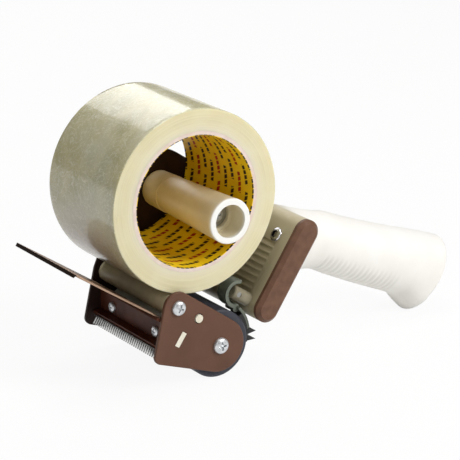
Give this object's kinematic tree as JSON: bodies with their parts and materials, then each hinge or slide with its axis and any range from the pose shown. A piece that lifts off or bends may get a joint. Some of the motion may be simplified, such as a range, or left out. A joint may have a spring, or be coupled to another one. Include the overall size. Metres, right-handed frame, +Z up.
{
  "type": "packing tape dispenser",
  "caption": "Hand-held packing tape dispenser with a loaded roll on an offset hub, rubber applicator roller, toothed knife, wiper flap and hooked grip",
  "frame": {"origin": "centre of the hub tube's open end", "axes": "X from the knife to the handle, Y from the open side into the dispenser along the hub, Z up as it stands"},
  "size_m": [0.2744, 0.0896, 0.1579],
  "materials": {
    "brown_paint": "satin brown paint on sheet steel",
    "pale_plastic": "pale cream moulded plastic",
    "bush_plastic": "plain off-white bearing plastic",
    "plain_steel": "bright turned steel",
    "bright_screws": "bright plated screws",
    "bright_bolts": "bright plated socket bolts",
    "roller_rubber": "dark blue-grey smooth rubber",
    "core_plastic": "dark plastic roller body",
    "holder_paint": "dark red-brown paint",
    "blade_steel": "ground blade steel",
    "flap_plastic": "thin grey-cream sheet plastic",
    "tape_film": "wound semi-clear tan film",
    "board": "wound paper board",
    "printed_liner": "yellow paper printed with plain bars",
    "handle_plastic": "off-white satin moulding",
    "cap_plastic": "satin brown paint",
    "lever_metal": "grey-green painted casting",
    "shoe_rubber": "black rubber",
    "spring_steel": "bright spring wire"
  },
  "bodies": {
    "frame": {"near_side_plate": "brown_paint", "far_side_plate": "brown_paint", "cross_bar": "pale_plastic", "guide_axle": "plain_steel", "guide_screws": "bright_screws", "applicator_axle": "plain_steel", "applicator_screws": "bright_screws", "knife_holder": "holder_paint", "knife_blade": "blade_steel", "holder_screws": "bright_screws", "wiper_root": "flap_plastic", "hub_arbor": "plain_steel", "hub_washer": "plain_steel", "hub_screw": "bright_screws", "hub_spring_washer": "plain_steel", "hub_nut": "bright_screws", "handle": "handle_plastic", "near_cap": "cap_plastic", "block_screws": "bright_screws", "block_bolts": "bright_bolts", "lever_stud": "plain_steel", "lever_pin": "plain_steel", "pin_clip": "plain_steel", "lever_spring": "spring_steel"},
    "tape_roll": {"tape_film": "tape_film", "tape_core": "board", "core_liner": "printed_liner"},
    "hub_sleeve": {"hub_tube": "pale_plastic"},
    "guide_roller_body": {"guide_roller": "pale_plastic", "guide_bushes": "bush_plastic"},
    "applicator_roller": {"applicator_tyre": "roller_rubber", "applicator_core": "core_plastic", "applicator_bushes": "bush_plastic"},
    "wiper": {"wiper_flap": "flap_plastic"},
    "drag_arm": {"drag_lever": "lever_metal", "drag_shoe": "shoe_rubber"}
  },
  "joints": [
    {"name": "tape_spin", "type": "hinge", "parent": "frame", "child": "tape_roll", "pos_m": [-0.02006, 0.04, 0.01353], "axis": [0, 1, 0], "continuous": true},
    {"name": "hub_spin", "type": "hinge", "parent": "frame", "child": "hub_sleeve", "pos_m": [0, 0.04, 0], "axis": [0, 1, 0], "continuous": true},
    {"name": "guide_spin", "type": "hinge", "parent": "frame", "child": "guide_roller_body", "pos_m": [-0.03458, 0.04, -0.04427], "axis": [0, 1, 0], "continuous": true},
    {"name": "applicator_spin", "type": "hinge", "parent": "frame", "child": "applicator_roller", "pos_m": [-0.0071, 0.04, -0.0718], "axis": [0, 1, 0], "continuous": true},
    {"name": "wiper_flex", "type": "hinge", "parent": "frame", "child": "wiper", "pos_m": [-0.04676, 0.04, -0.04774], "axis": [0, 1, 0], "range_deg": [-12, 12], "stiffness_Nm_per_rad": 0.4},
    {"name": "drag_lever_pivot", "type": "hinge", "parent": "frame", "child": "drag_arm", "pos_m": [0.01144, 0.0125, -0.04784], "axis": [0, 1, 0], "range_deg": [-4, 0], "stiffness_Nm_per_rad": 0.05, "springref_deg": 5.73}
  ]
}
